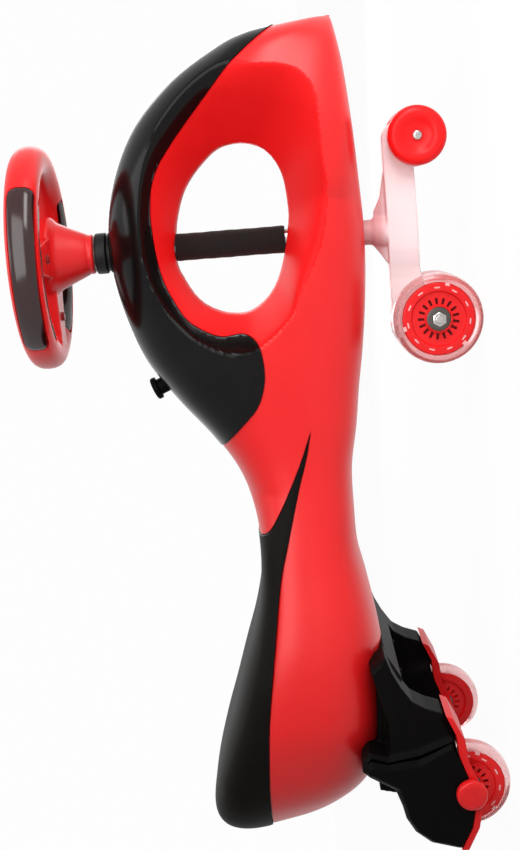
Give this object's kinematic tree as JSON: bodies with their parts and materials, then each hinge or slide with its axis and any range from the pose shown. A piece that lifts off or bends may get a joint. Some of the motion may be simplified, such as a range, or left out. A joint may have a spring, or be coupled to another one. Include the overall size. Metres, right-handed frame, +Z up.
{
  "type": "swing car ride on toy",
  "caption": "Ride on swing car with an arched front and carrying window, a raised seat, a steering wheel over a trailing caster arm with twin wheels, and covered rear wheels.",
  "frame": {"origin": "on the ground, under the middle of the car's length and width", "axes": "+X towards the nose, +Y to the rider's left, +Z up"},
  "size_m": [0.767, 0.294, 0.4326],
  "materials": {
    "red_shell": "bright red moulded plastic, satin gloss with a very fine orange peel",
    "fairing_black": "near black polished plastic",
    "seat_black": "black satin plastic with a fine moulded grain",
    "trim_black": "black satin plastic",
    "foam": "black closed cell foam, dull",
    "tray_red": "red moulded plastic",
    "arm_pale": "pale pinkish white plastic, slightly translucent",
    "tyre_clear": "clear cast urethane, tinted by the red core",
    "core_red": "red moulded plastic",
    "bumper_red": "red moulded plastic",
    "bearing_steel": "ground bearing steel",
    "steel": "zinc plated steel",
    "grip_smoke": "smoked dark plastic, polished",
    "board": "green circuit board",
    "cell_skin": "plain dark cell jacket"
  },
  "bodies": {
    "frame": {"body_shell": "red_shell", "front_fairing": "fairing_black", "seat_cover": "seat_black", "upper_bush": "trim_black", "lower_bush": "trim_black", "rear_housing": "trim_black", "undertray": "tray_red", "rear_axle": "steel", "axle_cap_left": "tray_red", "axle_cap_right": "tray_red", "housing_screw_1": "steel", "housing_screw_2": "steel", "housing_screw_3": "steel", "housing_screw_4": "steel"},
    "steering": {"steering_column": "steel", "foam_sleeve": "foam", "caster_arm": "arm_pale", "column_bolt": "steel", "front_axle_bolt": "steel", "front_axle_nut": "steel", "bumper_bolt": "steel", "bumper_nut": "steel", "wheel_lower_shell": "red_shell", "wheel_upper_shell": "red_shell", "grip_left": "grip_smoke", "grip_right": "grip_smoke", "hub_bolt": "steel", "wheel_screw_1": "steel", "wheel_screw_2": "steel", "wheel_screw_3": "steel", "sound_board": "board", "cell_left": "cell_skin", "cell_right": "cell_skin", "horn_spring": "steel"},
    "horn": {"horn_button": "red_shell"},
    "front_left_wheel": {"front_left_tyre": "tyre_clear", "front_left_core": "core_red", "front_left_inner_bearing": "bearing_steel", "front_left_outer_bearing": "bearing_steel"},
    "front_right_wheel": {"front_right_tyre": "tyre_clear", "front_right_core": "core_red", "front_right_inner_bearing": "bearing_steel", "front_right_outer_bearing": "bearing_steel"},
    "bumper_left": {"bumper_left_wheel": "bumper_red"},
    "bumper_right": {"bumper_right_wheel": "bumper_red"},
    "rear_left_wheel": {"rear_left_tyre": "tyre_clear", "rear_left_core": "core_red", "rear_left_inner_bearing": "bearing_steel", "rear_left_outer_bearing": "bearing_steel"},
    "rear_right_wheel": {"rear_right_tyre": "tyre_clear", "rear_right_core": "core_red", "rear_right_inner_bearing": "bearing_steel", "rear_right_outer_bearing": "bearing_steel"},
    "knob": {"dash_knob": "trim_black"}
  },
  "joints": [
    {"name": "steer", "type": "hinge", "parent": "frame", "child": "steering", "pos_m": [0.1879, 0, 0], "axis": [-0.0253, 0, 0.9997], "continuous": true},
    {"name": "horn_press", "type": "slide", "parent": "steering", "child": "horn", "axis": [0.0253, 0, -0.9997], "range_m": [0, 0.003], "stiffness_N_per_m": 300, "springref_m": -0.004, "deforming": ["horn_spring"]},
    {"name": "front_left_spin", "type": "hinge", "parent": "steering", "child": "front_left_wheel", "pos_m": [0.1032, 0.0218, 0.0424], "axis": [0, 1, 0], "continuous": true},
    {"name": "front_right_spin", "type": "hinge", "parent": "steering", "child": "front_right_wheel", "pos_m": [0.1032, -0.0218, 0.0424], "axis": [0, 1, 0], "continuous": true},
    {"name": "bumper_left_spin", "type": "hinge", "parent": "steering", "child": "bumper_left", "pos_m": [0.2719, 0.0208, 0.056], "axis": [0, 1, 0], "continuous": true},
    {"name": "bumper_right_spin", "type": "hinge", "parent": "steering", "child": "bumper_right", "pos_m": [0.2719, -0.0208, 0.056], "axis": [0, 1, 0], "continuous": true},
    {"name": "rear_left_spin", "type": "hinge", "parent": "frame", "child": "rear_left_wheel", "pos_m": [-0.3167, 0.109, 0.0388], "axis": [0, 1, 0], "continuous": true},
    {"name": "rear_right_spin", "type": "hinge", "parent": "frame", "child": "rear_right_wheel", "pos_m": [-0.3167, -0.109, 0.0388], "axis": [0, 1, 0], "continuous": true},
    {"name": "knob_turn", "type": "hinge", "parent": "frame", "child": "knob", "pos_m": [0.053, 0, 0.30001], "axis": [-0.4067, 0, 0.9135], "range_deg": [0, 90]}
  ]
}
